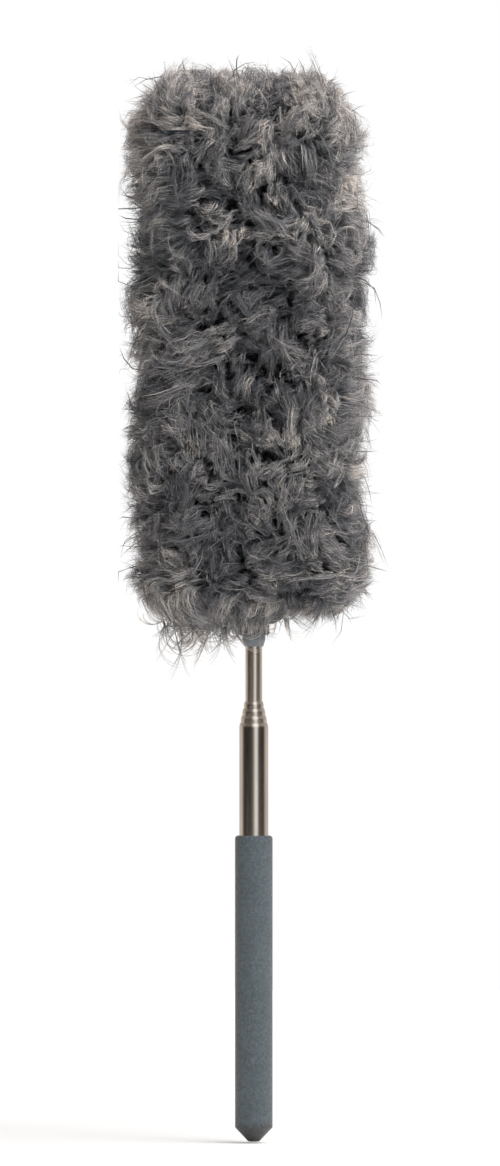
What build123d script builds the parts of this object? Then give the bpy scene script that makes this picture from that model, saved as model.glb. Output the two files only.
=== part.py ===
"""Extendable microfibre duster: a five-section friction-held steel pole, a moulded rubber grip and a
padded, long-pile head that screws on to the pole's tip.

Heights are measured up the pole's axis from the butt of the grip while the pieces are drawn.
Every piece is then moved down so that the frame's origin lies in the middle of the grip, on that axis.
"""

from build123d import *

import os

# Pole: tubes that slide in one another, section 1 outside
SECTIONS = 5
POLE_D = 19.0
TUBE_STEP = 2.0
TUBE_WALL = 0.4
POLE_SHOWS = 73.5
MOUTH_STEP = 4.7
NOSE_H = 2.8
NOSE_TAPER_H = 2.2
NOSE_EDGE_T = 0.35
NOSE_ROUND = 5.0
NOSE_EDGE_ROUND = 0.3

# Fits
RUN_GAP = 0.05
SPRING_GAP = 0.02
LIP_GAP = 0.1
STOP_GAP = 0.3

# Slide bushes, their friction rings, and the liners inside the mouths
BUSH_HEAD_H = 10.0
BUSH_SPIGOT_H = 7.0
BUSH_CHAMFER = 0.6
BUSH_VENT_D = 3.0
FLUTES = 4
FLUTE_W = 2.0
FLUTE_DEPTH = 0.6
RING_W = 3.6
RING_T = 0.8
RING_CHAMFER = 0.35
RING_SPLIT_DEG = 28.0
MOUTH_RING_H = 9.0
MOUTH_RING_SLIT = 0.8

# Grip and the plug that closes the outer tube
GRIP_H = 200.0
GRIP_WALL = 2.8
GRIP_CONE_H = 9.2
GRIP_TIP_D = 7.0
GRIP_TIP_ROUND = 1.6
GRIP_CORNER_ROUND = 1.4
GRIP_TOP_ROUND = 2.2
GRIP_FLOOR_T = 9.5
PLUG_FLANGE_H = 2.5
PLUG_SPIGOT_H = 8.0
PLUG_WALL = 2.0

# Pole tip and the head's socket
TIP_SHOWS = 35.9
TUBE_IN_SOCKET = 10.0
TIP_SPIGOT_H = 16.0
TIP_COLLAR_H = 1.2
STUD_D = 8.0
STUD_H = 9.0
STUD_CHAMFER = 0.8
SOCKET_WALL = 2.0
SOCKET_TAPER_H = 4.5
SOCKET_RIM_T = 0.6
SOCKET_CHAMFER = 0.8
SOCKET_WEB_T = 2.5
WIRE_HOLE_H = 17.0

# Hem of the sleeve, with its elastic, in the socket's groove
CUFF_RISE = 7.5
CUFF_GROOVE_DEPTH = 0.8
CUFF_H = 7.0
CUFF_T = 3.4
CUFF_CHAMFER = 1.0
ELASTIC_W = 4.0
ELASTIC_T = 0.9

# Padded core of the head: one bent wire between two foam halves
WIRE_D = 3.5
WIRE_SPAN = 56.0
WIRE_COVER = 1.3
WIRE_SPREAD_H = 34.0
WIRE_TOP_BELOW_PAD = 9.0
WIRE_FOOT_R = 14.0
WIRE_SHOULDER_R = 26.0
WIRE_CORNER_R = 22.0
PAD_W = 74.0
PAD_T = 22.0
PAD_L = 323.5
PAD_NECK_W = 36.0
PAD_TAPER_H = 42.0
PAD_NECK_R = 15.0
PAD_SHOULDER_R = 30.0
PAD_TOP_R = 16.0
PAD_EDGE_R = 9.0

# Sleeve over the core: knitted backing with the pile on it
BACKING_T = 1.5
PILE_L = 38.0
PILE_FOOT_RISE = 2.0
PILE_FOOT_R = 28.0
PILE_SHOULDER_R = 40.0
PILE_CROWN_R = 42.0
PILE_EDGE_R = 42.0

POLE_R = POLE_D / 2
GRIP_R = POLE_R + GRIP_WALL
GRIP_HOLD_H = (GRIP_CONE_H + GRIP_H) / 2
STACK_FOOT_H = GRIP_FLOOR_T + PLUG_FLANGE_H + PLUG_SPIGOT_H
BUSH_STACK_H = BUSH_HEAD_H + BUSH_SPIGOT_H
SOCKET_FOOT_H = GRIP_H + POLE_SHOWS + (SECTIONS - 2) * MOUTH_STEP + TIP_SHOWS


def outer_r(section):
    """Outside radius of a pole section."""
    return POLE_R - (section - 1) * TUBE_STEP / 2


def inner_r(section):
    """Bore radius of a pole section."""
    return outer_r(section) - TUBE_WALL


def bush_foot(section):
    """Height of the underside of a section's slide bush with the pole closed."""
    return STACK_FOOT_H + (section - 2) * BUSH_STACK_H


def tube_foot(section):
    """Height of a section's lower end with the pole closed."""
    if section == 1:
        return GRIP_FLOOR_T + PLUG_FLANGE_H
    return bush_foot(section) + BUSH_HEAD_H


def tube_top(section):
    """Height of a section's upper end with the pole closed."""
    if section == SECTIONS:
        return SOCKET_FOOT_H + TUBE_IN_SOCKET
    return GRIP_H + POLE_SHOWS + (section - 1) * MOUTH_STEP


def mouth_ring_foot(section):
    """Height of the underside of the liner in a section's mouth with the pole closed."""
    return tube_top(section) - NOSE_H - MOUTH_RING_H


def travel(section):
    """How far a section slides out of the one round it, until its bush meets the liner."""
    return mouth_ring_foot(section - 1) - tube_foot(section) - STOP_GAP


WIRE_R = WIRE_D / 2
SOCKET_BORE_R = outer_r(SECTIONS) + RUN_GAP
SOCKET_R = SOCKET_BORE_R + SOCKET_WALL
STUD_FOOT_H = SOCKET_FOOT_H + TUBE_IN_SOCKET + TIP_COLLAR_H
STUD_BORE_TOP_H = STUD_FOOT_H + STUD_H + STOP_GAP
WIRE_FOOT_H = STUD_BORE_TOP_H + SOCKET_WEB_T
SOCKET_TOP_H = WIRE_FOOT_H + WIRE_HOLE_H
WIRE_LEG_X = SOCKET_R - WIRE_COVER - WIRE_R
CUFF_FOOT_H = SOCKET_FOOT_H + CUFF_RISE
CUFF_TOP_H = CUFF_FOOT_H + CUFF_H
CUFF_R = SOCKET_R - CUFF_GROOVE_DEPTH
PAD_FOOT_H = CUFF_TOP_H + BACKING_T
PAD_TOP_H = PAD_FOOT_H + PAD_L


def face_of(*points):
    """A flat face from (radius, height) points."""
    return make_face(Polyline(*points, close=True))


def turned(face, arc=360.0):
    """The solid that a (radius, height) face sweeps round the pole's axis."""
    return revolve(Plane.XZ * face, Axis.Z, revolution_arc=arc)


def band(bore, out, foot, height):
    """The (radius, height) face of a plain ring."""
    return face_of((bore, foot), (out, foot), (out, foot + height), (bore, foot + height))


def corner(face, radius, height):
    """The face's vertex nearest to a (radius, height) point."""
    return face.vertices().sort_by_distance((radius, height, 0))[0]


def grip():
    """Rubber sleeve with a rolled top edge and a closed conical butt."""
    tip_r = GRIP_TIP_D / 2
    outline = face_of(
        (0, 0),
        (tip_r, 0),
        (GRIP_R, GRIP_CONE_H),
        (GRIP_R, GRIP_H),
        (POLE_R, GRIP_H),
        (POLE_R, GRIP_FLOOR_T),
        (0, GRIP_FLOOR_T),
    )
    top_round = min(GRIP_TOP_ROUND, 0.9 * GRIP_WALL)
    outline = fillet(corner(outline, GRIP_R, GRIP_H), top_round)
    outline = fillet(corner(outline, GRIP_R, GRIP_CONE_H), GRIP_CORNER_ROUND)
    outline = fillet(corner(outline, tip_r, 0), GRIP_TIP_ROUND)
    return turned(outline)


def butt_plug():
    """Cup pressed into the outer tube's lower end; its rim is the stop that the closed pole stands on."""
    flange_top = GRIP_FLOOR_T + PLUG_FLANGE_H
    spigot_r = inner_r(1)
    outline = face_of(
        (0, GRIP_FLOOR_T),
        (POLE_R, GRIP_FLOOR_T),
        (POLE_R, flange_top),
        (spigot_r, flange_top),
        (spigot_r, STACK_FOOT_H),
        (spigot_r - PLUG_WALL, STACK_FOOT_H),
        (spigot_r - PLUG_WALL, flange_top),
        (0, flange_top),
    )
    return turned(outline)


def section_tube(section):
    """A drawn steel tube; all but the innermost taper to a rolled nose at the mouth that holds their liner."""
    foot, top = tube_foot(section), tube_top(section)
    out, bore = outer_r(section), inner_r(section)
    if section == SECTIONS:
        return turned(band(bore, out, foot, top - foot))
    lip = outer_r(section + 1) + LIP_GAP
    edge = lip + NOSE_EDGE_T
    outline = face_of(
        (bore, foot),
        (out, foot),
        (out, top - NOSE_TAPER_H),
        (edge, top),
        (lip, top),
        (lip, top - NOSE_H),
        (bore, top - NOSE_H),
    )
    outline = fillet(corner(outline, out, top - NOSE_TAPER_H), NOSE_ROUND)
    return turned(fillet(corner(outline, edge, top), NOSE_EDGE_ROUND))


def mouth_ring(section):
    """Split nylon liner under a rolled mouth; it guides the next section and stops its bush."""
    foot = mouth_ring_foot(section)
    out, bore = inner_r(section), outer_r(section + 1) + RUN_GAP
    liner = turned(band(bore, out, foot, MOUTH_RING_H))
    slit = Pos(out, 0, foot + MOUTH_RING_H / 2) * Box(out, MOUTH_RING_SLIT, 2 * MOUTH_RING_H)
    return liner - slit


def ring_bore_r(section):
    """Inside radius of a section's friction ring, which is also its groove's floor."""
    return inner_r(section - 1) - SPRING_GAP - RING_T


def ring_foot(section):
    """Height of a friction ring's underside, half way up its bush's head."""
    return bush_foot(section) + (BUSH_HEAD_H - RING_W) / 2


def slide_bush(section):
    """Nylon bush pressed into a section's lower end, grooved for the friction ring and fluted for air."""
    foot, groove = bush_foot(section), ring_foot(section)
    shoulder, top = foot + BUSH_HEAD_H, foot + BUSH_STACK_H
    head_r, spigot_r = inner_r(section - 1) - RUN_GAP, inner_r(section)
    groove_r, vent_r = ring_bore_r(section), BUSH_VENT_D / 2
    outline = face_of(
        (vent_r, foot),
        (head_r - BUSH_CHAMFER, foot),
        (head_r, foot + BUSH_CHAMFER),
        (head_r, groove),
        (groove_r, groove),
        (groove_r, groove + RING_W),
        (head_r, groove + RING_W),
        (head_r, shoulder),
        (spigot_r, shoulder),
        (spigot_r, top),
        (vent_r, top),
    )
    flute = Pos(0, 0, foot + BUSH_HEAD_H / 2) * Box(2 * FLUTE_DEPTH, FLUTE_W, BUSH_HEAD_H)
    places = PolarLocations(head_r, FLUTES, start_angle=180 / FLUTES)
    return turned(outline) - [place * flute for place in places]


def friction_ring(section):
    """Split spring-steel ring in the bush's groove; it drags on the bore and holds the pole's length."""
    foot, bore = ring_foot(section), ring_bore_r(section)
    out = bore + RING_T
    outline = band(bore, out, foot, RING_W)
    edges = [corner(outline, out, foot), corner(outline, out, foot + RING_W)]
    ring = turned(chamfer(edges, RING_CHAMFER), 360 - RING_SPLIT_DEG)
    return Rot(0, 0, RING_SPLIT_DEG / 2) * ring


def pole_tip():
    """Plug pressed into the innermost tube's top, with the stud that the head screws on to."""
    top = tube_top(SECTIONS)
    out, bore, stud_r = outer_r(SECTIONS), inner_r(SECTIONS), STUD_D / 2
    stud_top = STUD_FOOT_H + STUD_H
    outline = face_of(
        (0, top - TIP_SPIGOT_H),
        (bore, top - TIP_SPIGOT_H),
        (bore, top),
        (out, top),
        (out, STUD_FOOT_H),
        (stud_r, STUD_FOOT_H),
        (stud_r, stud_top - STUD_CHAMFER),
        (stud_r - STUD_CHAMFER, stud_top),
        (0, stud_top),
    )
    return turned(outline)


def head_socket():
    """Moulded socket: a tapered foot round the pole, a bore for the stud and two holes for the wire."""
    stud_bore = STUD_D / 2 + RUN_GAP
    counterbore_top = STUD_FOOT_H + STOP_GAP
    outline = face_of(
        (SOCKET_BORE_R, SOCKET_FOOT_H),
        (SOCKET_BORE_R + SOCKET_RIM_T, SOCKET_FOOT_H),
        (SOCKET_R, SOCKET_FOOT_H + SOCKET_TAPER_H),
        (SOCKET_R, CUFF_FOOT_H),
        (CUFF_R, CUFF_FOOT_H),
        (CUFF_R, CUFF_TOP_H),
        (SOCKET_R, CUFF_TOP_H),
        (SOCKET_R, SOCKET_TOP_H - SOCKET_CHAMFER),
        (SOCKET_R - SOCKET_CHAMFER, SOCKET_TOP_H),
        (0, SOCKET_TOP_H),
        (0, STUD_BORE_TOP_H),
        (stud_bore, STUD_BORE_TOP_H),
        (stud_bore, counterbore_top),
        (SOCKET_BORE_R, counterbore_top),
    )
    hole = Pos(0, 0, WIRE_FOOT_H + WIRE_HOLE_H / 2) * Cylinder(WIRE_R, WIRE_HOLE_H)
    return turned(outline) - [Pos(side * WIRE_LEG_X, 0, 0) * hole for side in (-1, 1)]


def wire_frame():
    """One length of steel wire bent to a long loop, both ends in the socket."""
    span, top = WIRE_SPAN / 2, PAD_TOP_H - WIRE_TOP_BELOW_PAD
    # The first bend starts above the socket, so that the wire's ends stay straight in their holes.
    bend_foot = SOCKET_TOP_H + WIRE_FOOT_R / 2
    half = (
        (WIRE_LEG_X, WIRE_FOOT_H),
        (WIRE_LEG_X, bend_foot),
        (span, bend_foot + WIRE_SPREAD_H),
        (span, top),
    )
    left = [(-x, 0, z) for x, z in half]
    right = [(x, 0, z) for x, z in reversed(half)]
    radii = [WIRE_FOOT_R, WIRE_SHOULDER_R, WIRE_CORNER_R]
    path = FilletPolyline(*left, *right, radius=radii + radii[::-1])
    section = Plane(origin=path @ 0, z_dir=path % 0) * Circle(WIRE_R)
    return sweep(section, path=path)


def paddle(grow):
    """The padded core's shape as a pillow, grown by the same amount on every side."""
    half, neck = PAD_W / 2, PAD_NECK_W / 2
    shoulder = PAD_FOOT_H + PAD_TAPER_H
    outline = face_of(
        (-neck, PAD_FOOT_H),
        (neck, PAD_FOOT_H),
        (half, shoulder),
        (half, PAD_TOP_H),
        (-half, PAD_TOP_H),
        (-half, shoulder),
    )
    rounds = ((neck, PAD_FOOT_H, PAD_NECK_R), (half, shoulder, PAD_SHOULDER_R), (half, PAD_TOP_H, PAD_TOP_R))
    for x, height, radius in rounds:
        pair = [corner(outline, x, height), corner(outline, -x, height)]
        outline = fillet(pair, radius)
    if grow:
        outline = offset(outline, grow)
    slab = extrude(Plane.XZ * outline, PAD_T / 2 + grow, both=True)
    rims = slab.faces().filter_by(Axis.Y).edges()
    return fillet(rims, PAD_EDGE_R + grow)


def socket_space():
    """All that the socket takes up above the hem's foot, for what closes round it."""
    height = SOCKET_TOP_H - CUFF_FOOT_H
    return Pos(0, 0, CUFF_FOOT_H + height / 2) * Cylinder(SOCKET_R, height)


def foam_halves(core, wire):
    """Front and back halves of the foam, glued together round the wire and the socket's top."""
    pad = core - wire - socket_space()
    return split(pad, Plane.XZ, keep=Keep.TOP), split(pad, Plane.XZ, keep=Keep.BOTTOM)


def elastic_face():
    """The (radius, height) face of the flat elastic, in the middle of the hem."""
    bore = CUFF_R + (CUFF_T - ELASTIC_T) / 2
    return band(bore, bore + ELASTIC_T, CUFF_FOOT_H + (CUFF_H - ELASTIC_W) / 2, ELASTIC_W)


def sleeve_cuff():
    """Hem at the sleeve's neck, a folded ring that holds the elastic in the socket's groove."""
    out = CUFF_R + CUFF_T
    outline = band(CUFF_R, out, CUFF_FOOT_H, CUFF_H)
    edges = [corner(outline, out, CUFF_FOOT_H), corner(outline, out, CUFF_TOP_H)]
    return turned(chamfer(edges, CUFF_CHAMFER) - elastic_face())


def upright(half, foot, top, foot_r, top_r):
    """An upright rectangle about the axis, with rounds at its feet and at its shoulders."""
    face = face_of((-half, foot), (half, foot), (half, top), (-half, top))
    for height, radius in ((foot, foot_r), (top, top_r)):
        face = fillet([corner(face, -half, height), corner(face, half, height)], radius)
    return face


def pile(sleeve):
    """The long pile round the sleeve as one soft body, cut to its outlines from the front, side and above."""
    grow = BACKING_T + PILE_L
    foot, top = CUFF_FOOT_H + PILE_FOOT_RISE, PAD_TOP_H + grow
    half_w, half_t = PAD_W / 2 + grow, PAD_T / 2 + grow
    front = upright(half_w, foot, top, PILE_FOOT_R, PILE_SHOULDER_R)
    side = upright(half_t, foot, top, PILE_FOOT_R, PILE_CROWN_R)
    above = Pos(0, 0, foot) * RectangleRounded(2 * half_w, 2 * half_t, PILE_EDGE_R)
    mass = extrude(Plane.XZ * front, half_t, both=True)
    mass &= extrude(Plane.YZ * side, half_w, both=True)
    mass &= extrude(above, top - foot)
    hem_space = Pos(0, 0, CUFF_FOOT_H + CUFF_H / 2) * Cylinder(CUFF_R + CUFF_T, CUFF_H)
    return mass - sleeve - hem_space - socket_space()


def build():
    """Every piece by its node name, in the order of the pole from the butt up."""
    pieces = {"grip": grip(), "butt_plug": butt_plug()}
    for section in range(1, SECTIONS + 1):
        pieces[f"section_{section}_tube"] = section_tube(section)
        if section > 1:
            pieces[f"slide_bush_{section}"] = slide_bush(section)
            pieces[f"friction_ring_{section}"] = friction_ring(section)
        if section < SECTIONS:
            pieces[f"mouth_ring_{section}"] = mouth_ring(section)
    core, sleeve, wire = paddle(0), paddle(BACKING_T), wire_frame()
    front, back = foam_halves(core, wire)
    pieces["pole_tip"] = pole_tip()
    pieces["head_socket"] = head_socket()
    pieces["wire_frame"] = wire
    pieces["foam_front"] = front
    pieces["foam_back"] = back
    pieces["sleeve_backing"] = sleeve - core - socket_space()
    pieces["sleeve_cuff"] = sleeve_cuff()
    pieces["cuff_elastic"] = turned(elastic_face())
    pieces["pile"] = pile(sleeve)
    return pieces


def main():
    os.makedirs("parts", exist_ok=True)
    for name, shape in build().items():
        export_step(Pos(0, 0, -GRIP_HOLD_H) * shape, f"parts/{name}.step")
    for section in range(2, SECTIONS + 1):
        print(f"section_{section}_slide travels {travel(section):.1f} mm")
    print(f"origin is {GRIP_HOLD_H:.1f} mm above the butt")


main()
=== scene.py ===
"""Looks of the extendable duster: its pile as modelled strands, and the finish of every CAD node.

Lengths are in metres, in the frame of the CAD model: +Z up the pole, -Y towards the camera.
"""

import math

import bpy
import numpy as np
from mathutils.kdtree import KDTree
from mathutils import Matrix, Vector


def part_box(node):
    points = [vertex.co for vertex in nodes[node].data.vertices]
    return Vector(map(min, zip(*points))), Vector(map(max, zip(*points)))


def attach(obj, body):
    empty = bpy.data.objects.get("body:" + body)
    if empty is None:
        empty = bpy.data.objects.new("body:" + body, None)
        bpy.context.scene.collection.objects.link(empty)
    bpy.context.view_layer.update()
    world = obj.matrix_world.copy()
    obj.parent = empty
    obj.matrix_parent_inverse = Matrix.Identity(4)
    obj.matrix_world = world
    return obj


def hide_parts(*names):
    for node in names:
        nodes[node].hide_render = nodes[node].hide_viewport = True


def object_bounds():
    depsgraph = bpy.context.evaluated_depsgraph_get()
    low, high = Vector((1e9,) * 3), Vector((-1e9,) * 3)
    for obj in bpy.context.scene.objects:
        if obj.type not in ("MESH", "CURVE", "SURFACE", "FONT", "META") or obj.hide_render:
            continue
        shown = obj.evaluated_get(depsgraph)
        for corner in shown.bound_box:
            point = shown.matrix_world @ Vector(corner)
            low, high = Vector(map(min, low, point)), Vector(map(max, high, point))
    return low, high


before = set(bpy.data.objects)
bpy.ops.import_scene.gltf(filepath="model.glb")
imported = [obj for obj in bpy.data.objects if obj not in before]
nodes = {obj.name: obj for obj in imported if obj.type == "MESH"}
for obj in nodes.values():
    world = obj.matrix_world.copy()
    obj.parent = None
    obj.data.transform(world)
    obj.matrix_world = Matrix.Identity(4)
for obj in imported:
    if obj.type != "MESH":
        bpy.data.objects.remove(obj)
cad_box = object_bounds()

MM = 0.001
rng = np.random.default_rng(11)

# Photograph: its size, its scale and the pixels that the pole's axis and butt stand on
PHOTO_W_PX = 500
PHOTO_H_PX = 1166
PX = 0.6535 * MM
AXIS_PX_X = 253.8
BUTT_PX_Y = 1141.5

# Studio
CAMERA_DISTANCE = 8.0
SENSOR = 36.0
LIGHT_DISTANCE = 2.2
LIGHT_SIZE = 1.8
FLOOR_HALF_W = 3.0
FLOOR_GAP = 1 * MM
# Height over the butt of the painted shade on the grip
BUTT_SHADE_H = 14 * MM

# Pile: how many tufts, locks, strands in a lock, single hairs and fibres of fluff
TUFTS = 1000
LOCKS = 12000
STRANDS = 10
STRAYS = 1500
FLUFF = 38000
UNDER_SHARE = 0.5

# Meshes: sides and rings of each kind of strand, where the rings lie, and the faces in one piece
STRAND_SIDES = 3
CORE_SIDES = 4
RINGS = 5
CORE_RINGS = 6
FLUFF_RINGS = 4
FRINGE_RINGS = 14
PLACES = np.append(0.0, np.linspace(0.5, 1, RINGS - 1))
CORE_PLACES = np.append(0.0, np.linspace(0.45, 1, CORE_RINGS - 1))
FLUFF_PLACES = np.linspace(0.6, 1, FLUFF_RINGS)
FRINGE_PLACES = np.linspace(0.55, 1, FRINGE_RINGS)
LINE_STEPS = 24
BAND_FACES = 190_000

# Roots and tips: even spreading, scatter, and the room that the pile keeps
EVEN_STEPS = np.array((0.7548777, 0.5698403))
STEP_SCATTER = 0.02
ROOT_SCATTER = 8 * MM
POLE_CLEAR = 10 * MM
FREE_SPACE = 12 * MM

# Strands: radii, widths of a lock at its root and tip, and how strands wave and fray in it
STRAND_R = 0.155 * MM
STRAY_R = 0.30 * MM
FLUFF_R = 0.09 * MM
R_SPREAD = 0.25
LOCK_ROOT_W = 2.2 * MM
LOCK_TIP_W = 2.7 * MM
LOCK_FLAT = 0.55
TIP_FUZZ = 1.0 * MM
CRIMP = 0.15 * MM
STRAND_SHARE = (0.80, 1.0)
WAVE_SIZE = (0.2, 0.9)
WAVES = (0.8, 2.0)
FAN = (0.5, 1.2)

# Cores of the locks, fluff and bold hairs
CORE_SHARE = 0.64
CORE_W = 0.36
CORE_FLAT = 0.6
CORE_SPREAD = (0.6, 1.2)
FLUFF_L = 4.5 * MM
FLUFF_FROM = 0.42
FLUFF_LEAN = (10, 70)
FLUFF_BEND = 0.4
FLUFF_SPREAD = (0.5, 1.3)
BOLD_SHARE = 0.14
STRAY_REACH = (0.95, 1.02, 1.28)
STRAY_TILT = (5, 85)
STRAY_BEND = (0.5, 0.7)
STRAY_TURN = 1.2
STRAY_CURL = 0.8

# Tufts: the way they lie, in radians unless it is a tilt in degrees, and how tall they stand
SWIRL_SIZE = 40 * MM
SWIRL = 2.6
TUFT_TURN = 0.9
TUFT_TILT = (45, 100, 140)
TUFT_BEND = (0.64, 0.84)
TUFT_CURL = 1.8
SIDE_STAND = 0.15
SIDE_CALM = 0.6
LUMP_SIZE = 38 * MM
LUMPS = 0.075
TUFT_UNEVEN = 0.055
FORM_RANGE = (0.88, 1.10)
COMB_OUT = 0.6

# Locks: how far each departs from its tuft, and the low layer of locks below the upper one
LOCK_TURN = 0.18
LOCK_TILT = 0.18
LOCK_BEND = 0.04
LOCK_CURL = 0.25
TUFT_PULL = (0.1, 0.55)
UPPER_GROWN = (0.90, 1.05)
UNDER_GROWN = (0.72, 0.95)
UNDER_TILT = (70, 110)
UNDER_BEND = (0.35, 0.60)
SIDE_GROWTH = 0.06

# Tones from 0, dark, to 1, pale: of the layers, of tufts, locks and strands, and of parts of the head
UPPER_TONE = 0.30
# The low layer is toned darker as painted shade deep in the pile
UNDER_TONE_WITH_PAINTED_SHADE = 0.17
TONE_SIZE = 26 * MM
TONE_DRIFT = 0.11
TUFT_TONE = 0.14
LOCK_TONE = 0.08
STRAND_TONE = 0.18
# Pale locks: partly random tone, partly painted highlight
PALE_HIGHLIGHT_LOCKS = 0.08
PALE_HIGHLIGHT_TONE = 0.28
# Painted highlights: a share of strands toned paler, standing in for sheen along the fibres
HIGHLIGHT_STRANDS = 0.08
HIGHLIGHT_PALER = 0.35
# Painted shade on the cores inside the locks
CORE_PAINTED_SHADE = 0.06
# Painted light: the top of the head is toned paler
TOP_PAINTED_LIGHT = 0.15
FOOT_PALER = 0.04
FOOT_MIXED = 0.08
SWEEP_PALER = 0.10
# Painted light: the head is toned paler towards both rims, and more on the right
RIM_PAINTED_LIGHT = 0.14
RIGHT_PAINTED_LIGHT = 0.06
STRAY_TONE = 0.75
FLUFF_TONE = (0.04, 0.10)

# Form of the head: rounder at its right shoulder, set to the left, with tips that sag
SHOULDER_H = 85 * MM
RIGHT_TAPER = 0.16
LEFT_TAPER = 0.02
LEFT_SET = 3.5 * MM
DROOP = 3.0 * MM

# Foot of the pile: narrower and lifted a little, and combed round its left side towards the collar
FOOT_H = 48 * MM
FOOT_LIFT = 10 * MM
LEFT_FOOT_TAPER = 0.20
RIGHT_FOOT_TAPER = 0.08
SWEEP = 2.0
SWEEP_TILT = 105
SWEEP_BEND = 0.5

# Fringe of curly wisps that hang from the foot, and a flap of locks over the collar
FRINGE_WISPS = 150
WISP_STRANDS = 5
FRINGE_SPREAD = (-1.0, -0.7, 0.45)
FRINGE_OUT = 61 * MM
FRINGE_DROP = 38 * MM
FRINGE_LENGTH = 46 * MM
FRINGE_ROOT = (2, 12)
FRINGE_START = (-0.2, 0.5)
FRINGE_TURN = (0.8, 4.0)
FRINGE_ASIDE = 0.5
FRINGE_FRAY = 0.45 * MM
FRINGE_R = 0.24 * MM
# The fringe's pale tone is partly its own and partly painted light against the head's shadow
FRINGE_TONE_WITH_PAINTED_LIGHT = (0.64, 0.20)
FLAP_LOCKS = 24
FLAP_HALF_W = 13.5 * MM
FLAP_RISE = 12 * MM
FLAP_DROP = 9 * MM
FLAP_OUT = 4 * MM
FLAP_SCATTER = 0.6 * MM
FLAP_TONE = (0.50, 0.10)

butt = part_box("grip")[0]
pile_low, pile_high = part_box("pile")
sleeve_low, sleeve_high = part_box("sleeve_backing")
PILE_LENGTH = pile_high.y - sleeve_high.y


# Small helpers for shader nodes

def new_material(name):
    """A node material, its node tree and its Principled shader."""
    material = bpy.data.materials.new(name)
    material.use_nodes = True
    tree = material.node_tree
    return material, tree, tree.nodes["Principled BSDF"]


def add(tree, kind, inputs=(), **settings):
    """A new node with its settings, and its inputs as values or as sockets to link from."""
    node = tree.nodes.new(kind)
    for key, value in settings.items():
        setattr(node, key, value)
    for key, value in dict(inputs).items():
        if isinstance(value, bpy.types.NodeSocket):
            tree.links.new(value, node.inputs[key])
        else:
            node.inputs[key].default_value = value
    return node


def math_node(tree, operation, first, second=0.0):
    """The socket of one Math node."""
    return add(tree, "ShaderNodeMath", {0: first, 1: second}, operation=operation).outputs[0]


def ramp(tree, fac, stops, interpolation="LINEAR"):
    """The colour socket of a ramp with (place, colour) stops."""
    node = add(tree, "ShaderNodeValToRGB", {"Fac": fac})
    node.color_ramp.interpolation = interpolation
    elements = node.color_ramp.elements
    while len(elements) < len(stops):
        elements.new(1.0)
    for element, (position, colour) in zip(elements, stops):
        element.position = position
        element.color = (*colour, 1.0)
    return node.outputs["Color"]


def grey(value):
    """A neutral colour."""
    return (value, value, value)


def place(tree, scale):
    """Object coordinates times a scale in each direction."""
    coordinates = add(tree, "ShaderNodeTexCoord").outputs["Object"]
    return add(tree, "ShaderNodeVectorMath", {0: coordinates, 1: scale}, operation="MULTIPLY").outputs[0]


def noise(tree, scale, detail=3.0, roughness=0.5):
    """The value of a noise texture, with a scale in cycles per metre in each direction."""
    inputs = {"Vector": place(tree, scale), "Scale": 1.0, "Detail": detail, "Roughness": roughness}
    return add(tree, "ShaderNodeTexNoise", inputs).outputs["Fac"]


def bump(tree, shader, height, depth, strength=1.0):
    """Links a height map to a shader's normal, with its depth in metres."""
    node = add(tree, "ShaderNodeBump", {"Height": height, "Distance": depth, "Strength": strength})
    tree.links.new(node.outputs["Normal"], shader.inputs["Normal"])


# Materials

def steel(name, colour, rough, streak):
    """Drawn and polished steel: fine lines along the tube in its roughness, and a soft unevenness."""
    material, tree, shader = new_material(name)
    lines = noise(tree, (4000, 4000, 14), detail=4.0)
    cloud = noise(tree, (160, 160, 40), detail=2.0)
    low, high = [tuple(c * k for c in colour) for k in (0.93, 1.05)]
    tree.links.new(ramp(tree, cloud, [(0.3, low), (0.7, high)]), shader.inputs["Base Color"])
    spread = ramp(tree, lines, [(0.3, grey(rough - streak)), (0.7, grey(rough + streak))])
    tree.links.new(spread, shader.inputs["Roughness"])
    shader.inputs["Metallic"].default_value = 1.0
    return material


def rubber():
    """Grip rubber: blue-grey, with a leathery grain, a faint bloom, and painted shade that darkens its butt
    to a brownish grey.
    """
    material, tree, shader = new_material("grip_rubber")
    pebbles = add(tree, "ShaderNodeTexVoronoi", {"Vector": place(tree, grey(640)), "Scale": 1.0},
                  feature="SMOOTH_F1").outputs["Distance"]
    fine = noise(tree, grey(1500), detail=4.0, roughness=0.6)
    bloom = noise(tree, (90, 90, 45), detail=5.0, roughness=0.6)
    grain = math_node(tree, "ADD", math_node(tree, "MULTIPLY", pebbles, -0.8), fine)
    tint = ramp(tree, bloom, [(0.3, (0.068, 0.092, 0.111)), (0.7, (0.086, 0.112, 0.133))])
    speck = ramp(tree, grain, [(0.0, grey(0.68)), (0.6, grey(1.36))])
    spot = add(tree, "ShaderNodeTexCoord").outputs["Object"]
    height = add(tree, "ShaderNodeSeparateXYZ", {0: spot}).outputs[2]
    # Painted shade: the rubber darkens to a brownish grey towards the butt, which faces down
    rise = math_node(tree, "DIVIDE", math_node(tree, "SUBTRACT", height, butt.z), BUTT_SHADE_H)
    butt_painted_shade = ramp(tree, rise, [(0.0, (0.52, 0.44, 0.40)), (0.62, (0.62, 0.55, 0.52)), (1.0, grey(1.0))])
    for layer in (speck, butt_painted_shade):
        tint = add(tree, "ShaderNodeMix", {"Factor": 1.0, "A": tint, "B": layer},
                   data_type="RGBA", blend_type="MULTIPLY").outputs["Result"]
    tree.links.new(tint, shader.inputs["Base Color"])
    tree.links.new(ramp(tree, bloom, [(0.3, grey(0.28)), (0.7, grey(0.36))]), shader.inputs["Roughness"])
    shader.inputs["Specular IOR Level"].default_value = 0.4
    bump(tree, shader, grain, 0.0012, 1.0)
    return material


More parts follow.
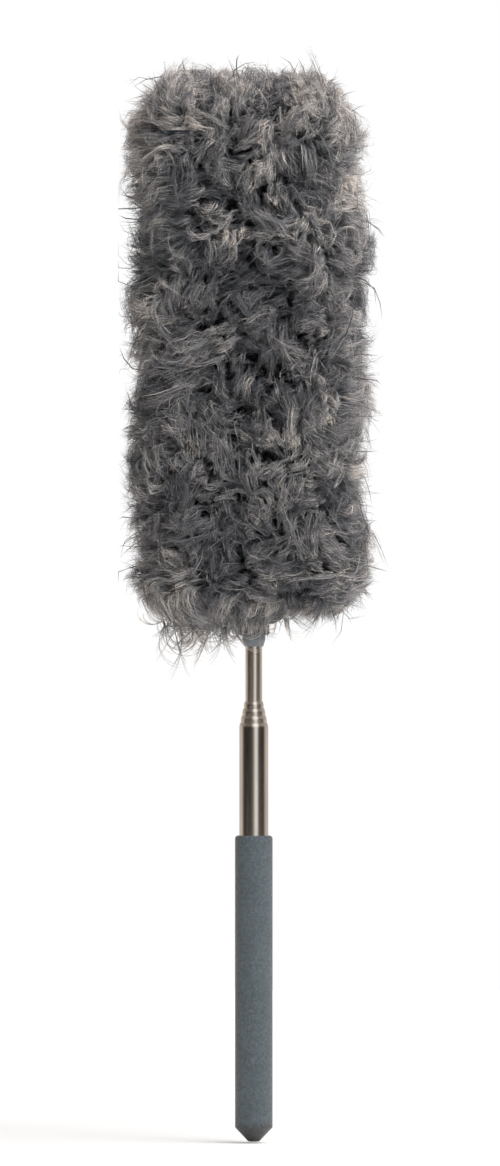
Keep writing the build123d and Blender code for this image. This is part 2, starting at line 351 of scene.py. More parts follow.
def moulded(name, dark, light, rough):
    """Moulded plastic with a fine spark-eroded skin."""
    material, tree, shader = new_material(name)
    skin = noise(tree, grey(3000), detail=2.0)
    cloud = noise(tree, grey(120), detail=3.0)
    tree.links.new(ramp(tree, cloud, [(0.3, dark), (0.7, light)]), shader.inputs["Base Color"])
    spread = ramp(tree, skin, [(0.3, grey(rough - 0.06)), (0.7, grey(rough + 0.06))])
    tree.links.new(spread, shader.inputs["Roughness"])
    bump(tree, shader, skin, 0.00003, 0.5)
    return material


def foam():
    """Open-cell foam: small pores, darkened as painted shade."""
    material, tree, shader = new_material("open_cell_foam")
    cells = add(tree, "ShaderNodeTexVoronoi", {"Vector": place(tree, grey(900)), "Scale": 1.0})
    pores = cells.outputs["Distance"]
    # Painted shade: the colour darkens into each pore
    tint = ramp(tree, pores, [(0.1, (0.30, 0.29, 0.28)), (0.5, (0.58, 0.57, 0.55))])
    tree.links.new(tint, shader.inputs["Base Color"])
    shader.inputs["Roughness"].default_value = 0.95
    bump(tree, shader, pores, 0.0004)
    return material


def knit(name, dark, light):
    """Warp knit: rows of small loops."""
    material, tree, shader = new_material(name)
    wave = {"Vector": place(tree, (1, 1, 1)), "Scale": 500.0, "Distortion": 0.6}
    rows = add(tree, "ShaderNodeTexWave", wave, bands_direction="Z").outputs["Fac"]
    wales = add(tree, "ShaderNodeTexWave", wave, bands_direction="X").outputs["Fac"]
    loops = math_node(tree, "MULTIPLY", rows, wales)
    tree.links.new(ramp(tree, loops, [(0.1, dark), (0.7, light)]), shader.inputs["Base Color"])
    shader.inputs["Roughness"].default_value = 0.9
    bump(tree, shader, loops, 0.0003)
    return material


def fibre():
    """Microfibre: each strand has its own tone, with painted shade that darkens it towards its root and
    painted light that makes it paler and warmer at its tip.
    """
    material, tree, shader = new_material("pile_fibre")
    tone = add(tree, "ShaderNodeAttribute", attribute_name="tone").outputs["Fac"]
    along = add(tree, "ShaderNodeAttribute", attribute_name="along").outputs["Fac"]
    tones = [
        (0.0, (0.085, 0.095, 0.116)),
        (0.40, (0.285, 0.300, 0.332)),
        (0.70, (0.540, 0.548, 0.566)),
        (1.0, (0.880, 0.862, 0.840)),
    ]
    # Painted shade and light along each strand: darker towards the root, paler and warmer at the tip
    painted_root_shade_tip_light = [
        (0.0, (0.40, 0.42, 0.455)),
        (0.6, (0.72, 0.73, 0.75)),
        (1.0, (1.26, 1.22, 1.17)),
    ]
    colour = add(
        tree, "ShaderNodeMix", {"Factor": 1.0, "A": ramp(tree, tone, tones), "B": ramp(tree, along, painted_root_shade_tip_light)},
        data_type="RGBA", blend_type="MULTIPLY",
    ).outputs["Result"]
    tree.links.new(colour, shader.inputs["Base Color"])
    shader.inputs["Roughness"].default_value = 0.62
    shader.inputs["Specular IOR Level"].default_value = 0.35
    shader.inputs["Sheen Weight"].default_value = 0.25
    shader.inputs["Sheen Roughness"].default_value = 0.4
    warm = add(
        tree, "ShaderNodeMix", {"Factor": 1.0, "A": colour, "B": (1.06, 0.98, 0.92, 1.0)},
        data_type="RGBA", blend_type="MULTIPLY",
    ).outputs["Result"]
    through = add(tree, "ShaderNodeBsdfTranslucent", {"Color": warm})
    mixed = add(tree, "ShaderNodeMixShader", {0: 0.35, 1: shader.outputs[0], 2: through.outputs[0]})
    tree.links.new(mixed.outputs[0], tree.nodes["Material Output"].inputs["Surface"])
    return material


def paint(node, material):
    """Gives a CAD node its finish."""
    slots = nodes[node].data.materials
    slots.clear()
    slots.append(material)


def paint_cad():
    """The finish of every CAD node that shows or that the pile hides."""
    outer_steel = steel("outer_steel", (0.58, 0.545, 0.50), 0.11, 0.03)
    inner_steel = steel("inner_steel", (0.60, 0.55, 0.50), 0.20, 0.04)
    spring_steel = steel("spring_steel", (0.30, 0.29, 0.29), 0.35, 0.05)
    wire_steel = steel("frame_wire", (0.50, 0.48, 0.46), 0.4, 0.08)
    nylon = moulded("nylon", (0.14, 0.145, 0.15), (0.17, 0.175, 0.18), 0.45)
    finishes = {
        "grip": rubber(),
        "head_socket": moulded("socket_plastic", (0.095, 0.115, 0.130), (0.120, 0.142, 0.158), 0.45),
        "wire_frame": wire_steel,
        # The backing's dark colour is partly its own slate grey and partly painted shade under the pile
        "sleeve_backing": knit("backing_knit", (0.060, 0.066, 0.076), (0.150, 0.160, 0.175)),
        "cuff_elastic": moulded("elastic", (0.05, 0.05, 0.053), (0.07, 0.07, 0.073), 0.7),
        "butt_plug": nylon,
        "pole_tip": nylon,
    }
    finishes["sleeve_cuff"] = finishes["sleeve_backing"]
    finishes["foam_front"] = finishes["foam_back"] = foam()
    for name in nodes:
        if name.startswith("section_"):
            finishes[name] = outer_steel if name.startswith("section_1") else inner_steel
        elif name.startswith("friction_ring_"):
            finishes[name] = spring_steel
        elif name.startswith(("slide_bush_", "mouth_ring_")):
            finishes[name] = nylon
    for name, material in finishes.items():
        paint(name, material)


# Pile

def unit(vectors):
    """The vectors, each of length one."""
    return vectors / np.maximum(np.linalg.norm(vectors, axis=-1, keepdims=True), 1e-9)


def ease(values):
    """A smooth step from 0 to 1."""
    values = np.clip(values, 0, 1)
    return values * values * (3 - 2 * values)


def drift(points, size, strength):
    """A smooth random field over the points, with lumps of about the given size."""
    field = np.zeros(len(points))
    for _ in range(8):
        wave = unit(rng.normal(size=3)) * 2 * math.pi / (size * rng.uniform(1.4, 2.8))
        field += np.sin(points @ wave + rng.uniform(0, 2 * math.pi))
    return strength * field / 2


def skin():
    """Corners, normals and areas of those faces of the pile's solid that its tips reach."""
    mesh = nodes["pile"].data
    mesh.calc_loop_triangles()
    corners = np.empty(3 * len(mesh.loop_triangles), int)
    mesh.loop_triangles.foreach_get("vertices", corners)
    points = np.empty(3 * len(mesh.vertices))
    mesh.vertices.foreach_get("co", points)
    triangles = points.reshape(-1, 3)[corners.reshape(-1, 3)]
    cross = np.cross(triangles[:, 1] - triangles[:, 0], triangles[:, 2] - triangles[:, 0])
    size = np.linalg.norm(cross, axis=1)
    centre = triangles.mean(axis=1)
    low, high = np.array(sleeve_low), np.array(sleeve_high)
    beyond = np.maximum(np.maximum(low - centre, centre - high), 0)
    outside = (np.linalg.norm(beyond, axis=1) > PILE_LENGTH / 4) & (size > 0)
    return triangles[outside], cross[outside] / size[outside, None], size[outside] / 2


def stand_points(count):
    """Evenly spread places on the skin, roots about below them on the sleeve, and the way out between."""
    triangles, normals, areas = skin()
    number = np.arange(count)
    pick = np.searchsorted(np.cumsum(areas) / areas.sum(), (number + rng.random(count)) / count)
    u, v = np.modf(number * EVEN_STEPS[:, None] + rng.normal(0, STEP_SCATTER, (2, count)))[0][..., None] % 1
    u, v = np.where(u + v > 1, 1 - u, u), np.where(u + v > 1, 1 - v, v)
    a, b, c = (triangles[pick, i] for i in range(3))
    reach = a + u * (b - a) + v * (c - a)
    below = reach - normals[pick] * PILE_LENGTH + rng.normal(0, ROOT_SCATTER, (count, 3))
    root = np.clip(below, np.array(sleeve_low), np.array(sleeve_high))
    return reach, root, unit(reach - root)


def swept(points):
    """How much of the sweep round the left of the foot there is at the points, from 0 to 1."""
    foot = ease((pile_low.z - points[:, 2]) / FOOT_H + 1.1)
    return foot * ease(-2.2 * points[:, 0] / pile_high.x - 0.4)


def combed(points):
    """The way in which the pile is combed: out to the sides and top, and round the left of the foot."""
    middle, half = np.array(pile_low + pile_high) / 2, np.array(pile_high - pile_low) / 2
    part = (points - middle) / half
    down = np.clip((pile_low.z - points[:, 2]) / FOOT_H + 1, 0, 1)
    sweep = swept(points)[:, None]
    out = np.stack([part[:, 0] ** 3, 0 * down, np.clip(part[:, 2], 0, 1) ** 5], 1)
    round_foot = unit(np.stack([down, 0 * down, 0.7 * part[:, 0]], 1))
    return COMB_OUT * (1 - sweep) * out + SWEEP * sweep * round_foot


def bent_lines(root, out, angle, height, tilt_end, bend_at, curl):
    """Middle lines in fine steps: straight out of the sleeve, then bent over by tilt_end and curled.

    The angle is the way that a line lies over, from straight down. Also gives the ways along and across.
    """
    down = unit(np.cross(out, np.cross((0.0, 0.0, -1.0), out) + 1e-6))
    lie = np.cos(angle)[:, None] * down + np.sin(angle)[:, None] * np.cross(out, down)
    lie = lie + combed(root + PILE_LENGTH * out)
    side = unit(np.cross(out, lie))
    lie = np.cross(side, out)
    t = (np.arange(LINE_STEPS) + 0.5) / LINE_STEPS
    past = (t - bend_at[:, None]) / (1 - bend_at[:, None])
    tilt = (tilt_end[:, None] * ease(past * 1.7))[..., None]
    heading = (curl[:, None] * np.clip(past, 0, 1) ** 1.3)[..., None]
    lie, side, out = lie[:, None], side[:, None], out[:, None]
    ahead = np.cos(tilt) * out + np.sin(tilt) * (np.cos(heading) * lie + np.sin(heading) * side)
    across = np.cos(heading) * side - np.sin(heading) * lie
    step = height / np.maximum(np.cos(tilt[..., 0]), 0).sum(axis=1)
    line = root[:, None] + np.cumsum(ahead * step[:, None, None], axis=1)
    return np.concatenate([root[:, None], line], axis=1), ahead, across


def settle(line):
    """Lines in the head's own form: narrower at its top and foot, with tips that lean left and sag."""
    t = np.linspace(0, 1, line.shape[1]) ** 2
    line = line - t[:, None] * np.array((LEFT_SET, 0, DROOP))
    x, z = line[..., 0], line[..., 2]
    top = np.where(x > 0, RIGHT_TAPER, LEFT_TAPER) * ease((z - pile_high.z) / SHOULDER_H + 1)
    down = np.clip((pile_low.z - z) / FOOT_H + 1, 0, 1.2)
    foot = np.where(x > 0, RIGHT_FOOT_TAPER, LEFT_FOOT_TAPER) * down ** 1.6
    line[..., 0] *= (1 - top) * (1 - foot)
    line[..., 2] += FOOT_LIFT * ease(down)
    return line


def at_places(values, places):
    """Values along each lock's line at the strands' places (0 at the root, 1 at the tip)."""
    last = values.shape[1] - 1
    index = np.clip(places, 0, 1) * last
    low = np.minimum(index.astype(int), last - 1)
    part = (index - low)[..., None]
    lock = np.arange(len(values))[:, None, None]
    return values[lock, low] * (1 - part) + values[lock, low + 1] * part


def comb(line, ahead, across, tone, wild):
    """Lines, radii and tones of the strands in locks with these middle lines; wild scales the waves."""
    shape = (len(line), STRANDS)
    turn, phase = rng.uniform(0, 2 * math.pi, (2, *shape, 1))
    far = np.sqrt(rng.random(shape))[..., None]
    length = rng.uniform(*STRAND_SHARE, shape)[..., None]
    wave_size = rng.uniform(*WAVE_SIZE, shape)[..., None] * MM * wild[:, None, None]
    waves = rng.uniform(*WAVES, shape)[..., None]
    fan = rng.uniform(*FAN, len(line))[:, None, None]

    s = PLACES * length
    half_w = LOCK_ROOT_W * (1 - s) + LOCK_TIP_W * fan * s
    ripple = wave_size * s * np.sin(2 * math.pi * waves * s + phase)
    sideways = half_w * far * np.cos(turn) + ripple
    lift = LOCK_FLAT * half_w * far * np.sin(turn) + 0.5 * ripple
    along, across = at_places(ahead, s), at_places(across, s)
    lines = at_places(line, s) + sideways[..., None] * across + lift[..., None] * np.cross(along, across)
    lines += (s ** 3)[..., None] * rng.normal(0, TIP_FUZZ, (*shape, 1, 3))
    lines += s[..., None] * rng.normal(0, CRIMP, lines.shape)

    radius = (STRAND_R * rng.lognormal(0, R_SPREAD, shape))[..., None] * (1 - 0.8 * PLACES ** 4)
    # Painted highlight: a few strands are toned paler for sheen along the fibres
    painted_highlight = HIGHLIGHT_PALER * (rng.random(shape) < HIGHLIGHT_STRANDS)
    tones = np.clip(tone[:, None] + rng.normal(0, STRAND_TONE, shape) + painted_highlight, 0, 1)
    return lines.reshape(-1, RINGS, 3), radius.reshape(-1, RINGS), tones.ravel()


def cores(line, across, tone):
    """The matted, flat inside of each lock: lines, radii, tones and the ways across."""
    places = np.broadcast_to(CORE_PLACES * CORE_SHARE, (len(line), 1, CORE_RINGS))
    lines, wide = at_places(line, places)[:, 0], at_places(across, places)[:, 0]
    taper = LOCK_ROOT_W * (1 - CORE_PLACES) + LOCK_TIP_W * CORE_PLACES
    radius = CORE_W * rng.uniform(*CORE_SPREAD, (len(line), 1)) * taper
    # Painted shade: each core is a little darker than the strands that lie over it
    return lines, radius, np.clip(tone - CORE_PAINTED_SHADE, 0, 1), wide


def nearest(centres, points):
    """The number of the centre that is nearest to each point."""
    tree = KDTree(len(centres))
    for number, centre in enumerate(centres):
        tree.insert(centre, number)
    tree.balance()
    return np.array([tree.find(point)[1] for point in points])


def make_tufts():
    """The tufts: their places, ways to lie, forms and tones, and the middle line of each."""
    centre, root, out = stand_points(TUFTS)
    side = ease(2 * np.abs(out[:, 0]) - 0.8)
    near_top = ease((centre[:, 2] - pile_high.z) / SHOULDER_H + 1)
    foot = ease((pile_low.z - centre[:, 2]) / FOOT_H + 1)
    across = centre[:, 0] / pile_high.x
    sweep = swept(centre)

    angle = drift(centre, SWIRL_SIZE, SWIRL) + rng.normal(0, TUFT_TURN, TUFTS)
    tilt = np.radians(rng.triangular(*TUFT_TILT, TUFTS)) * (1 - SIDE_STAND * side)
    bend = rng.uniform(*TUFT_BEND, TUFTS)
    curl = rng.normal(0, TUFT_CURL, TUFTS) * (1 - SIDE_CALM * side)
    form = 1 + drift(centre, LUMP_SIZE, LUMPS) * (1 - near_top) + rng.normal(0, TUFT_UNEVEN, TUFTS)
    form = np.clip(form, *FORM_RANGE)
    tilt += sweep * (math.radians(SWEEP_TILT) - tilt)
    bend += sweep * (SWEEP_BEND - bend)
    curl *= 1 - sweep

    tone = drift(centre, TONE_SIZE, TONE_DRIFT) + rng.normal(0, 1, TUFTS) * (TUFT_TONE + FOOT_MIXED * foot)
    # Painted light makes the top, the rims and the right side paler; the foot and the sweep are paler too
    tone += (
        TOP_PAINTED_LIGHT * near_top + FOOT_PALER * foot + SWEEP_PALER * sweep
        + RIM_PAINTED_LIGHT * across ** 2 + RIGHT_PAINTED_LIGHT * ease(across)
    )
    tall = np.linalg.norm(centre - root, axis=1) * form
    line = bent_lines(root, out, angle, tall, tilt, bend, curl)[0]
    return centre, angle, tilt, bend, curl, form, tone, line


def lock_strands():
    """Locks all over the head, gathered in tufts: a low layer over the sleeve, toned darker as painted shade,
    and a taller one.
    """
    centre, tuft_angle, tuft_tilt, tuft_bend, tuft_curl, form, tuft_tone, tuft_line = make_tufts()
    reach, root, out = stand_points(LOCKS)
    tuft = nearest(centre, reach)
    under = rng.random(LOCKS) < UNDER_SHARE
    foot = ease((pile_low.z + FOOT_H - reach[:, 2]) / FOOT_H)
    grown = np.where(under, rng.uniform(*UNDER_GROWN, LOCKS), rng.uniform(*UPPER_GROWN, LOCKS))
    grown *= 1 + SIDE_GROWTH * np.abs(out[:, 0])
    height = np.linalg.norm(reach - root, axis=1) * form[tuft] * grown
    angle = tuft_angle[tuft] + rng.normal(0, LOCK_TURN, LOCKS)
    tilt = tuft_tilt[tuft] + rng.normal(0, LOCK_TILT, LOCKS)
    tilt = np.where(under, np.radians(rng.uniform(*UNDER_TILT, LOCKS)), tilt)
    bend_at = tuft_bend[tuft] + rng.normal(0, LOCK_BEND, LOCKS)
    bend_at = np.where(under, rng.uniform(*UNDER_BEND, LOCKS), bend_at)
    curl = tuft_curl[tuft] + rng.normal(0, LOCK_CURL, LOCKS)
    line, ahead, across = bent_lines(root, out, angle, height, tilt, bend_at, curl)

    # The upper locks are drawn to their tuft's middle line towards their tips
    pull = np.where(under, 0, rng.uniform(*TUFT_PULL, LOCKS))[:, None, None]
    t = np.linspace(0, 1, LINE_STEPS + 1)[:, None]
    line = settle(line + pull * t ** 2 * (tuft_line[tuft] - line))
    # A few upper locks are paler, partly as painted highlight
    pale_and_highlight = PALE_HIGHLIGHT_TONE * (rng.random(LOCKS) < PALE_HIGHLIGHT_LOCKS)
    # Painted shade: the low layer takes a darker tone than the upper one
    layer = np.where(under, UNDER_TONE_WITH_PAINTED_SHADE, UPPER_TONE + pale_and_highlight)
    tone = layer + tuft_tone[tuft] + rng.normal(0, LOCK_TONE, LOCKS)
    return comb(line, ahead, across, tone, 1 + foot), cores(line, across, tone)


def fringe_strands():
    """Curly wisps that hang from the foot: long on the left, and a few short ones beside the collar."""
    part = rng.triangular(*FRINGE_SPREAD, FRINGE_WISPS)
    left = ease(-3 * part)
    root = np.stack([
        part * FRINGE_OUT,
        rng.uniform(sleeve_low.y, sleeve_high.y, FRINGE_WISPS),
        sleeve_low.z + rng.uniform(*FRINGE_ROOT, FRINGE_WISPS) * MM,
    ], axis=1)
    length = FRINGE_LENGTH * rng.uniform(0.4, 1.0, FRINGE_WISPS) * (0.5 + 0.5 * left)
    start = rng.normal(*FRINGE_START, FRINGE_WISPS) * left
    turn = rng.normal(*FRINGE_TURN, FRINGE_WISPS) * (0.3 + 0.7 * left)
    aside = rng.normal(0, FRINGE_ASIDE, FRINGE_WISPS)

    # Each strand of a wisp has its own length and turn, so that the wisp frays towards its end
    shape = (FRINGE_WISPS, WISP_STRANDS, 1)
    t = np.linspace(0, 1, FRINGE_RINGS)
    heading = start[:, None, None] + turn[:, None, None] * rng.normal(1, 0.12, shape) * t ** 1.4
    aside = aside[:, None, None] * np.ones_like(heading)
    level = np.sin(heading)
    way = np.stack([level * np.cos(aside), level * np.sin(aside), -np.cos(heading)], axis=-1)
    step = length[:, None, None] * rng.uniform(0.7, 1.0, shape) / (FRINGE_RINGS - 1)
    lines = root[:, None, None] + np.cumsum(way * step[..., None], axis=2)
    lines += (0.4 + t)[:, None] * rng.normal(0, FRINGE_FRAY, (*shape, 3))
    radius = FRINGE_R * rng.uniform(0.6, 1.1, shape) * (1 - 0.7 * t ** 2)
    # Painted light in part: the fringe is toned pale though it hangs in the head's shadow
    tone = rng.normal(*FRINGE_TONE_WITH_PAINTED_LIGHT, (FRINGE_WISPS, 1)) + rng.normal(0, 0.12, shape[:2])
    tone = np.clip(tone, 0, 1).ravel()
    return lines.reshape(-1, FRINGE_RINGS, 3), radius.reshape(-1, FRINGE_RINGS), tone


def flap_strands():
    """A small crescent of locks that lies over the collar in front of the pole."""
    t = np.linspace(0, 1, LINE_STEPS + 1)
    part = np.linspace(-1, 1, FLAP_LOCKS)
    x = part[:, None] * FLAP_HALF_W * (1 - 0.15 * t) - LEFT_SET / 2
    y = sleeve_low.y - FLAP_OUT * np.sin(0.7 * math.pi * t) * np.ones_like(x)
    end = sleeve_low.z - FLAP_DROP * (1 - part ** 4)
    z = sleeve_low.z + FLAP_RISE * (1 - t) + (end - sleeve_low.z)[:, None] * t ** 2
    line = np.stack([x, y, z], axis=2) + rng.normal(0, FLAP_SCATTER, (FLAP_LOCKS, 1, 3))
    ahead = unit(np.gradient(line, axis=1))
    across = unit(np.cross(ahead, (0.0, 1.0, 0.0)) + 1e-6)
    return comb(line, ahead, across, rng.normal(*FLAP_TONE, FLAP_LOCKS), np.ones(FLAP_LOCKS))


def stray_strands():
    """Single coarse hairs that stand out of the pile, some of them bold and dark."""
    spots = stand_points(3 * STRAYS)
    likely = 0.2 + np.abs(spots[2][:, 0]) + np.abs(spots[2][:, 2])
    pick = rng.choice(len(likely), STRAYS, replace=False, p=likely / likely.sum())
    reach, root, out = [values[pick] for values in spots]
    angle = drift(reach, SWIRL_SIZE, SWIRL) + rng.normal(0, STRAY_TURN, STRAYS)
    bold = rng.random(STRAYS) < BOLD_SHARE
    height = np.linalg.norm(reach - root, axis=1) * rng.triangular(*STRAY_REACH, STRAYS)
    height *= 1 + 0.1 * bold
    tilt_end = np.radians(rng.uniform(*STRAY_TILT, STRAYS))
    bend_at = rng.uniform(*STRAY_BEND, STRAYS)
    curl = rng.normal(0, STRAY_CURL, STRAYS)
    line = bent_lines(root, out, angle, height, tilt_end, bend_at, curl)[0]
    places = np.broadcast_to(PLACES, (STRAYS, 1, RINGS))
    lines = at_places(settle(line), places)[:, 0]
    radius = STRAY_R * rng.uniform(0.5, 1.0, (STRAYS, 1)) * (1 + 0.8 * bold[:, None])
    tone = rng.uniform(0.0, STRAY_TONE, STRAYS) * (1 - 0.9 * bold)
    return lines, radius * (1 - 0.6 * PLACES ** 4), tone


def fluff(strands, tone):
    """Fine fibres that stand off the upper part of the strands: lines, radii and tones."""
    strand = rng.choice(len(strands), FLUFF, replace=False)
    where = rng.uniform(FLUFF_FROM, 1, FLUFF)
    low = np.clip(np.searchsorted(PLACES, where) - 1, 0, RINGS - 2)
    part = ((where - PLACES[low]) / (PLACES[low + 1] - PLACES[low]))[:, None]
    below, above = strands[strand, low], strands[strand, low + 1]
    ahead = unit(above - below)
    aside = unit(np.cross(ahead, rng.normal(size=(FLUFF, 3))))
    lean = np.radians(rng.uniform(*FLUFF_LEAN, FLUFF))[:, None]
    way = np.cos(lean) * ahead + np.sin(lean) * aside
    bend = rng.normal(0, FLUFF_BEND, (FLUFF, 3)) + 0.25 * ahead
    length = FLUFF_L * rng.uniform(*FLUFF_SPREAD, (FLUFF, 1, 1))
    t = np.linspace(0, 1, FLUFF_RINGS)[:, None]
    start = below + part * (above - below)
    lines = start[:, None] + length * (t * way[:, None] + t ** 2 * bend[:, None])
    radius = FLUFF_R * rng.lognormal(0, R_SPREAD, (FLUFF, 1)) * (1 - 0.8 * t[:, 0] ** 2)
    return lines, radius, np.clip(tone[strand] + rng.normal(*FLUFF_TONE, FLUFF), 0, 1)


def clear_pole(lines):
    """Strands below the sleeve's neck part round the pole, and none goes past the pile's free space."""
    across = lines[..., :2]
    gap = np.maximum(np.linalg.norm(across, axis=-1, keepdims=True), 1e-6)
    beside_pole = lines[..., 2:] < sleeve_low.z
    lines[..., :2] = np.where(beside_pole, across * np.maximum(1, POLE_CLEAR / gap), across)
    low, high = np.array(pile_low) - FREE_SPACE, np.array(pile_high) + FREE_SPACE
    low[2] -= FRINGE_DROP
    return np.clip(lines, low, high)


def tube_mesh(name, lines, radius, tone, wide, places, sides, flat):
    """One mesh of closed, tapered strands, each with its tone and the way across in which it is widest."""
    count, rings = len(lines), len(places)
    tangent = unit(np.gradient(lines, axis=1))
    second = unit(np.cross(tangent, wide))
    first = np.cross(second, tangent)
    second *= flat
    turn = 2 * math.pi * np.arange(sides) / sides
    offset = np.cos(turn)[:, None] * first[:, :, None, :] + np.sin(turn)[:, None] * second[:, :, None, :]
    ringed = lines[:, :, None, :] + radius[:, :, None, None] * offset
    body = ringed[:, :-1].reshape(count, -1, 3)
    points = np.concatenate([body, lines[:, -1:]], axis=1)
    per_strand = points.shape[1]

    # Faces of one strand: a cap at the root, quads between rings, and triangles to the tip
    faces = [list(range(sides))[::-1]]
    for ring in range(rings - 2):
        for i in range(sides):
            j = (i + 1) % sides
            low, high = ring * sides, (ring + 1) * sides
            faces.append([low + i, low + j, high + j, high + i])
    last = (rings - 2) * sides
    faces += [[last + i, last + (i + 1) % sides, per_strand - 1] for i in range(sides)]
    one_loop = np.concatenate(faces)
    sizes = np.array([len(face) for face in faces])
    starts = np.concatenate([[0], np.cumsum(sizes)[:-1]])
    strand = np.arange(count)[:, None]
    loops = (one_loop + strand * per_strand).ravel()
    loop_starts = (starts + strand * len(one_loop)).ravel()

    mesh = bpy.data.meshes.new(name)
    mesh.vertices.add(count * per_strand)
    mesh.vertices.foreach_set("co", points.ravel())
    mesh.loops.add(len(loops))
    mesh.loops.foreach_set("vertex_index", loops)
    mesh.polygons.add(len(loop_starts))
    mesh.polygons.foreach_set("loop_start", loop_starts)
    mesh.polygons.foreach_set("use_smooth", np.ones(len(loop_starts), bool))
    mesh.update(calc_edges=True)

    # The tone and the way along are attributes for the finish, and the same two numbers are its map
    along = np.tile(np.append(np.repeat(places[:-1], sides), places[-1]), count)
    tones = np.repeat(tone, per_strand)
    for key, values in (("tone", tones), ("along", along)):
        mesh.attributes.new(key, "FLOAT", "POINT").data.foreach_set("value", values.astype(np.float32))
    across = np.append(np.tile(np.arange(sides), rings - 1), 1) / sides - 0.5
    u = np.clip(tones + 0.01 * np.tile(across, count), 0, 1)
    chart = mesh.uv_layers.new(name="OFBake")
    chart.data.foreach_set("uv", np.stack([u, along], axis=1)[loops].ravel())
    return mesh


def make_bands(title, strands, places, material, sides=STRAND_SIDES, flat=1.0):
    """Pieces of about equal size, in bands up the head, that ride on it."""
    lines, radius, tone, wide = strands
    lines = clear_pole(lines)
    faces = len(lines) * (sides * (2 * len(places) - 3) + 1)
    order = np.argsort(lines[:, 0, 2])
    pieces = []
    for number, band in enumerate(np.array_split(order, math.ceil(faces / BAND_FACES)), 1):
        name = f"{title}_{number}"
        mesh = tube_mesh(name, lines[band], radius[band], tone[band], wide[band], places, sides, flat)
        mesh.materials.append(material)
        piece = bpy.data.objects.new(name, mesh)
        bpy.context.scene.collection.objects.link(piece)
        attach(piece, "head")
        pieces.append(piece)
    return pieces


def make_pile():
    """The pile, as bands of strands, fluff, fringe and cores, which together stand for the CAD node."""
    locks, core = lock_strands()
    groups = [locks, flap_strands(), stray_strands()]
    lines, radius, tone = [np.concatenate(parts) for parts in zip(*groups)]
    soft_lines, soft_radius, soft_tone = fluff(lines, tone)
    material = fibre()
    strands = (lines, radius, tone, rng.normal(size=(len(lines), 1, 3)))
    soft = (soft_lines, soft_radius, soft_tone, rng.normal(size=(FLUFF, 1, 3)))
    pieces = make_bands("pile_strands", strands, PLACES, material)
    make_bands("pile_fluff", soft, FLUFF_PLACES, material)
    hang_lines, hang_radius, hang_tone = fringe_strands()
    hanging = (hang_lines, hang_radius, hang_tone, rng.normal(size=(len(hang_lines), 1, 3)))
    make_bands("pile_fringe", hanging, FRINGE_PLACES, material)
    make_bands("pile_cores", core, CORE_PLACES, material, CORE_SIDES, CORE_FLAT)
    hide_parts("pile")


# Studio

def make_world():
    """A white backdrop for the camera; round the object a pale rear, a dim front and a soft strip."""
    world = bpy.data.worlds.new("studio")
    bpy.context.scene.world = world
    world.use_nodes = True
    tree = world.node_tree
    tree.nodes.clear()
    direction = add(tree, "ShaderNodeTexCoord").outputs["Generated"]
    x, y, z = add(tree, "ShaderNodeSeparateXYZ", {0: direction}).outputs
    # The way round from the camera's side, as 0 to 1 from -180 to 180 degrees
    turn = math_node(tree, "ARCTAN2", x, math_node(tree, "MULTIPLY", y, -1.0))
    turn = math_node(tree, "ADD", math_node(tree, "DIVIDE", turn, 2 * math.pi), 0.5)

    def at(degrees):
        """The place on a ramp of a way round in degrees."""
        return 0.5 + degrees / 360

    rear = (0.78, 0.70, 0.65)
    dim = (0.026, 0.022, 0.019)
    strip = (1.06, 1.08, 1.06)
    level = ramp(tree, turn, [
        (at(-110), rear), (at(-86), (0.09, 0.07, 0.06)), (at(-60), dim), (at(-36), dim),
        (at(-16), (0.11, 0.09, 0.08)), (at(-6), (0.24, 0.215, 0.19)), (at(2), (0.52, 0.50, 0.47)),
        (at(11), strip), (at(26), strip), (at(35), grey(0.36)), (at(43), (0.10, 0.09, 0.08)),
        (at(50), (0.06, 0.05, 0.04)), (at(82), (0.06, 0.04, 0.03)), (at(110), rear),
    ])
    raised = ramp(tree, turn, [
        (at(-110), (0.48, 0.43, 0.39)), (at(-60), (0.20, 0.175, 0.155)), (at(-20), (0.26, 0.235, 0.215)),
        (at(8), grey(1.6)), (at(26), grey(1.6)), (at(50), (0.32, 0.29, 0.265)), (at(110), (0.60, 0.55, 0.50)),
    ])
    higher = ramp(tree, z, [(0.10, grey(0.0)), (0.32, grey(1.0))])
    round_wall = add(tree, "ShaderNodeMix", {"Factor": higher, "A": level, "B": raised},
                     data_type="RGBA").outputs["Result"]
    up = ramp(tree, z, [(0.7, grey(0.0)), (0.95, grey(1.0))])
    overhead = (0.8, 0.77, 0.73, 1.0)
    room = add(tree, "ShaderNodeMix", {"Factor": up, "A": round_wall, "B": overhead},
               data_type="RGBA").outputs["Result"]
    around = add(tree, "ShaderNodeBackground", {"Color": room, "Strength": 1.0})
    white = add(tree, "ShaderNodeBackground", {"Color": (1, 1, 1, 1), "Strength": 1.0})
    camera_ray = add(tree, "ShaderNodeLightPath").outputs["Is Camera Ray"]
    shown = add(tree, "ShaderNodeMixShader", {0: camera_ray, 1: around.outputs[0], 2: white.outputs[0]})
    output = add(tree, "ShaderNodeOutputWorld")
    tree.links.new(shown.outputs[0], output.inputs["Surface"])


def soft_light(name, azimuth, elevation, watts, colour):
    """A square soft light that points at the object's middle; the world gives the reflections."""
    data = bpy.data.lights.new(name, "AREA")
    data.size = LIGHT_SIZE
    data.energy = watts
    data.color = colour
    light = bpy.data.objects.new(name, data)
    turn, rise = math.radians(azimuth), math.radians(elevation)
    back = (math.sin(turn) * math.cos(rise), -math.cos(turn) * math.cos(rise), math.sin(rise))
    middle = (cad_box[0] + cad_box[1]) / 2
    light.location = [m + LIGHT_DISTANCE * b for m, b in zip(middle, back)]
    light.rotation_euler = (middle - light.location).to_track_quat("-Z", "Y").to_euler()
    light.visible_glossy = False
    bpy.context.scene.collection.objects.link(light)


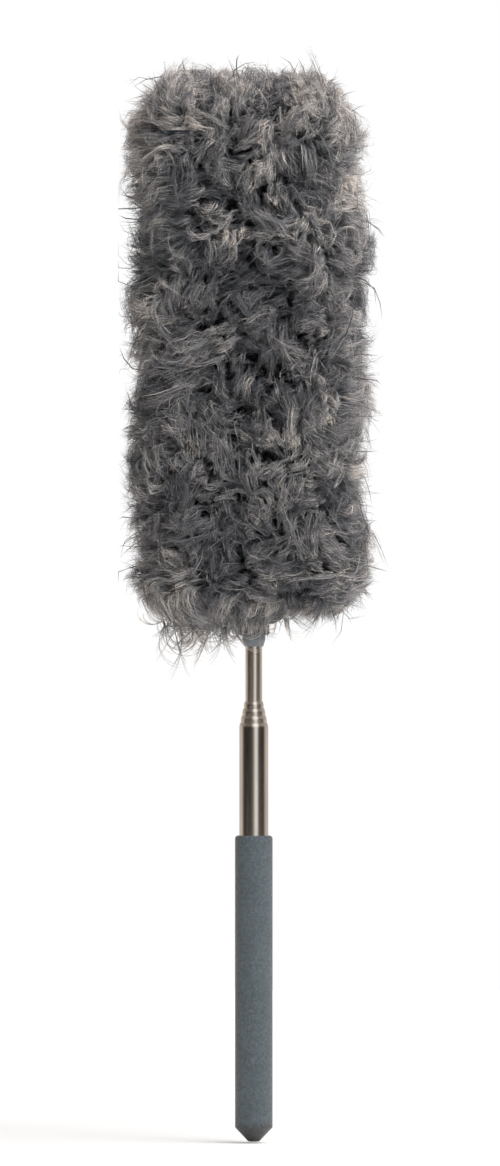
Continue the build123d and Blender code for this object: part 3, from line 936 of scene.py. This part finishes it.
def make_floor():
    """A plain pale floor just under the butt, white to the camera except in the object's shadow."""
    level = butt.z - FLOOR_GAP
    corners = [(x * FLOOR_HALF_W, y * FLOOR_HALF_W, level) for x, y in ((-1, -1), (1, -1), (1, 1), (-1, 1))]
    mesh = bpy.data.meshes.new("floor")
    mesh.from_pydata(corners, [], [(0, 1, 2, 3)])
    floor = bpy.data.objects.new("floor", mesh)
    bpy.context.scene.collection.objects.link(floor)
    material, tree, shader = new_material("pale_floor")
    shader.inputs["Roughness"].default_value = 0.9
    shader.inputs["Specular IOR Level"].default_value = 0.1
    shader.inputs["Emission Color"].default_value = (1, 1, 1, 1)
    camera_ray = add(tree, "ShaderNodeLightPath").outputs["Is Camera Ray"]
    pale = ramp(tree, camera_ray, [(0.0, grey(0.86)), (1.0, (0.565, 0.600, 0.625))])
    tree.links.new(pale, shader.inputs["Base Color"])
    spot = add(tree, "ShaderNodeTexCoord").outputs["Object"]
    away = add(tree, "ShaderNodeVectorMath", {0: spot}, operation="LENGTH").outputs["Value"]
    glow = math_node(tree, "ADD", math_node(tree, "MULTIPLY", away, 0.2), 0.17)
    tree.links.new(math_node(tree, "MULTIPLY", camera_ray, glow), shader.inputs["Emission Strength"])
    mesh.materials.append(material)


def make_camera():
    """A long lens, level with the object's middle, framed as the photograph is."""
    data = bpy.data.cameras.new("camera")
    data.sensor_width = SENSOR
    data.lens = SENSOR * CAMERA_DISTANCE / (PHOTO_H_PX * PX)
    data.clip_end = 4 * CAMERA_DISTANCE
    camera = bpy.data.objects.new("camera", data)
    x = (PHOTO_W_PX / 2 - AXIS_PX_X) * PX
    z = butt.z + (BUTT_PX_Y - PHOTO_H_PX / 2) * PX
    camera.location = (x, -CAMERA_DISTANCE, z)
    camera.rotation_euler = (math.pi / 2, 0, 0)
    bpy.context.scene.collection.objects.link(camera)
    bpy.context.scene.camera = camera


paint_cad()
make_pile()
make_world()
soft_light("key", 35, 25, 29, (0.93, 1.0, 0.98))
soft_light("upper_right", 62, 56, 74, (1.0, 0.87, 0.81))
make_floor()
make_camera()
bpy.context.scene.view_settings.view_transform = "Standard"
